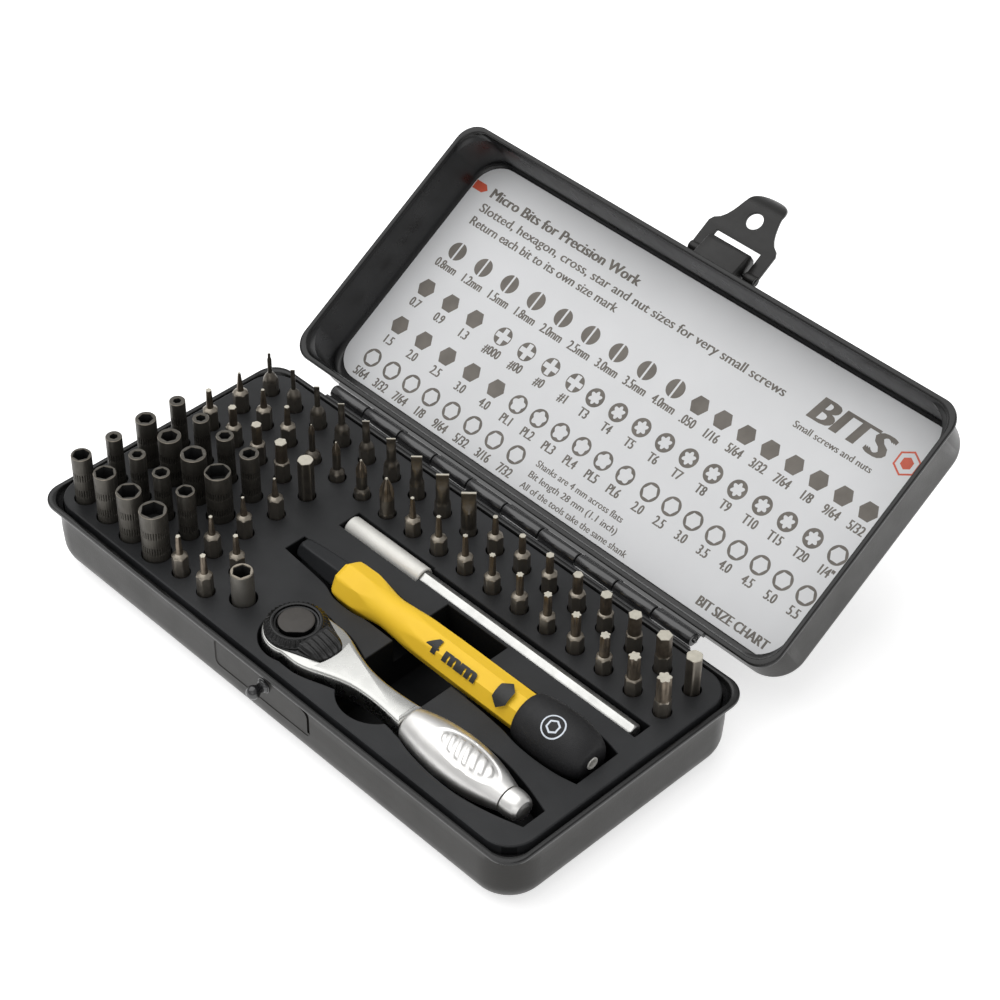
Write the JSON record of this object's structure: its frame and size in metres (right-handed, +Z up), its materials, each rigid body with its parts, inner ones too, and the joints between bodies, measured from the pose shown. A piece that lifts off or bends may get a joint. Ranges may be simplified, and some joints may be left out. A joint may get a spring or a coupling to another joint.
{
  "type": "precision screwdriver set",
  "caption": "Hinged black case with a tray of upright micro bits and nut setters, a slim driver, a mini ratchet and a bit extension.",
  "frame": {"origin": "centre of the case's flat underside", "axes": "+X along the case's long side, +Y from the latch side to the hinge side, +Z up; lid stored open on its stop"},
  "size_m": [0.1804, 0.1956, 0.0733],
  "materials": {
    "case_black": "satin black paint",
    "tray_black": "matte moulded black",
    "label_silver": "silver-grey printed card",
    "hardware_black": "gloss black steel",
    "latch_black": "gloss black sheet",
    "bit_steel": "dark tempered steel",
    "chrome": "polished chrome",
    "satin_chrome": "satin chrome",
    "extension_satin": "satin nickel",
    "drive_steel": "ground steel",
    "ring_black": "black, knurled",
    "button_grey": "dark grey satin",
    "nose_black": "black, smooth",
    "grip_yellow": "yellow moulded plastic",
    "cap_black": "black soft-touch, fine grain"
  },
  "bodies": {
    "case": {"base_shell": "case_black", "tray_insert": "tray_black", "hinge_pin": "hardware_black", "latch_stud": "hardware_black", "inch_hex_bits": "bit_steel", "phillips_bits": "bit_steel", "torx_bits": "bit_steel", "pentalobe_bits": "bit_steel"},
    "lid": {"lid_shell": "case_black", "lid_label": "label_silver", "latch_pin": "hardware_black"},
    "latch": {"latch_plate": "latch_black"},
    "driver": {"driver_nose": "nose_black", "driver_grip": "grip_yellow"},
    "driver_cap": {"driver_cap": "cap_black", "driver_contact_ring": "extension_satin"},
    "ratchet": {"ratchet_body": "chrome", "ratchet_grip": "satin_chrome", "ratchet_end_knob": "satin_chrome"},
    "selector": {"ratchet_selector": "ring_black"},
    "drive": {"ratchet_drive": "drive_steel"},
    "button": {"ratchet_button": "button_grey"},
    "extension": {"extension_sleeve": "extension_satin", "extension_rod": "drive_steel"},
    "adapter": {"drive_adapter": "bit_steel"},
    "slotted_0_8mm": {"slotted_0_8mm": "bit_steel"},
    "slotted_1_2mm": {"slotted_1_2mm": "bit_steel"},
    "slotted_1_5mm": {"slotted_1_5mm": "bit_steel"},
    "slotted_1_8mm": {"slotted_1_8mm": "bit_steel"},
    "slotted_2_0mm": {"slotted_2_0mm": "bit_steel"},
    "slotted_2_5mm": {"slotted_2_5mm": "bit_steel"},
    "slotted_3_0mm": {"slotted_3_0mm": "bit_steel"},
    "slotted_3_5mm": {"slotted_3_5mm": "bit_steel"},
    "slotted_4_0mm": {"slotted_4_0mm": "bit_steel"},
    "hex_0_7mm": {"hex_0_7mm": "bit_steel"},
    "hex_0_9mm": {"hex_0_9mm": "bit_steel"},
    "hex_1_3mm": {"hex_1_3mm": "bit_steel"},
    "hex_1_5mm": {"hex_1_5mm": "bit_steel"},
    "hex_2_0mm": {"hex_2_0mm": "bit_steel"},
    "hex_2_5mm": {"hex_2_5mm": "bit_steel"},
    "hex_3_0mm": {"hex_3_0mm": "bit_steel"},
    "hex_4_0mm": {"hex_4_0mm": "bit_steel"},
    "nut_5_64in": {"nut_5_64in": "bit_steel"},
    "nut_3_32in": {"nut_3_32in": "bit_steel"},
    "nut_7_64in": {"nut_7_64in": "bit_steel"},
    "nut_1_8in": {"nut_1_8in": "bit_steel"},
    "nut_9_64in": {"nut_9_64in": "bit_steel"},
    "nut_5_32in": {"nut_5_32in": "bit_steel"},
    "nut_3_16in": {"nut_3_16in": "bit_steel"},
    "nut_7_32in": {"nut_7_32in": "bit_steel"},
    "nut_2_0mm": {"nut_2_0mm": "bit_steel"},
    "nut_2_5mm": {"nut_2_5mm": "bit_steel"},
    "nut_3_0mm": {"nut_3_0mm": "bit_steel"},
    "nut_3_5mm": {"nut_3_5mm": "bit_steel"},
    "nut_4_0mm": {"nut_4_0mm": "bit_steel"},
    "nut_4_5mm": {"nut_4_5mm": "bit_steel"},
    "nut_5_0mm": {"nut_5_0mm": "bit_steel"},
    "nut_5_5mm": {"nut_5_5mm": "bit_steel"}
  },
  "joints": [
    {"name": "lid_hinge", "type": "hinge", "parent": "case", "child": "lid", "pos_m": [0, 0.0449, 0.021], "axis": [-1, 0, 0], "range_deg": [-147.3, 0]},
    {"name": "latch_swing", "type": "hinge", "parent": "lid", "child": "latch", "pos_m": [0.0013, 0.12588, 0.06182], "axis": [-1, 0, 0], "range_deg": [-90, 60]},
    {"name": "driver_lift", "type": "slide", "parent": "case", "child": "driver", "axis": [0, 0, 1], "range_m": [0, 0.045]},
    {"name": "driver_cap_spin", "type": "hinge", "parent": "driver", "child": "driver_cap", "pos_m": [0.0586, -0.0045, 0.0219], "axis": [1, 0, 0], "continuous": true},
    {"name": "extension_lift", "type": "slide", "parent": "case", "child": "extension", "axis": [0, 0, 1], "range_m": [0, 0.045]},
    {"name": "ratchet_lift", "type": "slide", "parent": "case", "child": "ratchet", "axis": [0, 0, 1], "range_m": [0, 0.045]},
    {"name": "ratchet_drive_spin", "type": "hinge", "parent": "ratchet", "child": "drive", "pos_m": [-0.0019, -0.0268, 0.0214], "axis": [0, 0, 1], "continuous": true},
    {"name": "ratchet_selector_turn", "type": "hinge", "parent": "ratchet", "child": "selector", "pos_m": [-0.0019, -0.0268, 0.0214], "axis": [0, 0, 1], "range_deg": [-14, 14]},
    {"name": "ratchet_button_press", "type": "slide", "parent": "ratchet", "child": "button", "axis": [0, 0, -1], "range_m": [0, 0.0008], "stiffness_N_per_m": 400},
    {"name": "drive_adapter_lift", "type": "slide", "parent": "case", "child": "adapter", "axis": [0, 0, 1], "range_m": [0, 0.022]},
    {"name": "slotted_0_8mm_lift", "type": "slide", "parent": "case", "child": "slotted_0_8mm", "axis": [0, 0, 1], "range_m": [0, 0.022]},
    {"name": "slotted_1_2mm_lift", "type": "slide", "parent": "case", "child": "slotted_1_2mm", "axis": [0, 0, 1], "range_m": [0, 0.022]},
    {"name": "slotted_1_5mm_lift", "type": "slide", "parent": "case", "child": "slotted_1_5mm", "axis": [0, 0, 1], "range_m": [0, 0.022]},
    {"name": "slotted_1_8mm_lift", "type": "slide", "parent": "case", "child": "slotted_1_8mm", "axis": [0, 0, 1], "range_m": [0, 0.022]},
    {"name": "slotted_2_0mm_lift", "type": "slide", "parent": "case", "child": "slotted_2_0mm", "axis": [0, 0, 1], "range_m": [0, 0.022]},
    {"name": "slotted_2_5mm_lift", "type": "slide", "parent": "case", "child": "slotted_2_5mm", "axis": [0, 0, 1], "range_m": [0, 0.022]},
    {"name": "slotted_3_0mm_lift", "type": "slide", "parent": "case", "child": "slotted_3_0mm", "axis": [0, 0, 1], "range_m": [0, 0.022]},
    {"name": "slotted_3_5mm_lift", "type": "slide", "parent": "case", "child": "slotted_3_5mm", "axis": [0, 0, 1], "range_m": [0, 0.022]},
    {"name": "slotted_4_0mm_lift", "type": "slide", "parent": "case", "child": "slotted_4_0mm", "axis": [0, 0, 1], "range_m": [0, 0.022]},
    {"name": "hex_0_7mm_lift", "type": "slide", "parent": "case", "child": "hex_0_7mm", "axis": [0, 0, 1], "range_m": [0, 0.022]},
    {"name": "hex_0_9mm_lift", "type": "slide", "parent": "case", "child": "hex_0_9mm", "axis": [0, 0, 1], "range_m": [0, 0.022]},
    {"name": "hex_1_3mm_lift", "type": "slide", "parent": "case", "child": "hex_1_3mm", "axis": [0, 0, 1], "range_m": [0, 0.022]},
    {"name": "hex_1_5mm_lift", "type": "slide", "parent": "case", "child": "hex_1_5mm", "axis": [0, 0, 1], "range_m": [0, 0.022]},
    {"name": "hex_2_0mm_lift", "type": "slide", "parent": "case", "child": "hex_2_0mm", "axis": [0, 0, 1], "range_m": [0, 0.022]},
    {"name": "hex_2_5mm_lift", "type": "slide", "parent": "case", "child": "hex_2_5mm", "axis": [0, 0, 1], "range_m": [0, 0.022]},
    {"name": "hex_3_0mm_lift", "type": "slide", "parent": "case", "child": "hex_3_0mm", "axis": [0, 0, 1], "range_m": [0, 0.022]},
    {"name": "hex_4_0mm_lift", "type": "slide", "parent": "case", "child": "hex_4_0mm", "axis": [0, 0, 1], "range_m": [0, 0.022]},
    {"name": "nut_5_64in_lift", "type": "slide", "parent": "case", "child": "nut_5_64in", "axis": [0, 0, 1], "range_m": [0, 0.022]},
    {"name": "nut_3_32in_lift", "type": "slide", "parent": "case", "child": "nut_3_32in", "axis": [0, 0, 1], "range_m": [0, 0.022]},
    {"name": "nut_7_64in_lift", "type": "slide", "parent": "case", "child": "nut_7_64in", "axis": [0, 0, 1], "range_m": [0, 0.022]},
    {"name": "nut_1_8in_lift", "type": "slide", "parent": "case", "child": "nut_1_8in", "axis": [0, 0, 1], "range_m": [0, 0.022]},
    {"name": "nut_9_64in_lift", "type": "slide", "parent": "case", "child": "nut_9_64in", "axis": [0, 0, 1], "range_m": [0, 0.022]},
    {"name": "nut_5_32in_lift", "type": "slide", "parent": "case", "child": "nut_5_32in", "axis": [0, 0, 1], "range_m": [0, 0.022]},
    {"name": "nut_3_16in_lift", "type": "slide", "parent": "case", "child": "nut_3_16in", "axis": [0, 0, 1], "range_m": [0, 0.022]},
    {"name": "nut_7_32in_lift", "type": "slide", "parent": "case", "child": "nut_7_32in", "axis": [0, 0, 1], "range_m": [0, 0.022]},
    {"name": "nut_2_0mm_lift", "type": "slide", "parent": "case", "child": "nut_2_0mm", "axis": [0, 0, 1], "range_m": [0, 0.022]},
    {"name": "nut_2_5mm_lift", "type": "slide", "parent": "case", "child": "nut_2_5mm", "axis": [0, 0, 1], "range_m": [0, 0.022]},
    {"name": "nut_3_0mm_lift", "type": "slide", "parent": "case", "child": "nut_3_0mm", "axis": [0, 0, 1], "range_m": [0, 0.022]},
    {"name": "nut_3_5mm_lift", "type": "slide", "parent": "case", "child": "nut_3_5mm", "axis": [0, 0, 1], "range_m": [0, 0.022]},
    {"name": "nut_4_0mm_lift", "type": "slide", "parent": "case", "child": "nut_4_0mm", "axis": [0, 0, 1], "range_m": [0, 0.022]},
    {"name": "nut_4_5mm_lift", "type": "slide", "parent": "case", "child": "nut_4_5mm", "axis": [0, 0, 1], "range_m": [0, 0.022]},
    {"name": "nut_5_0mm_lift", "type": "slide", "parent": "case", "child": "nut_5_0mm", "axis": [0, 0, 1], "range_m": [0, 0.022]},
    {"name": "nut_5_5mm_lift", "type": "slide", "parent": "case", "child": "nut_5_5mm", "axis": [0, 0, 1], "range_m": [0, 0.022]}
  ]
}
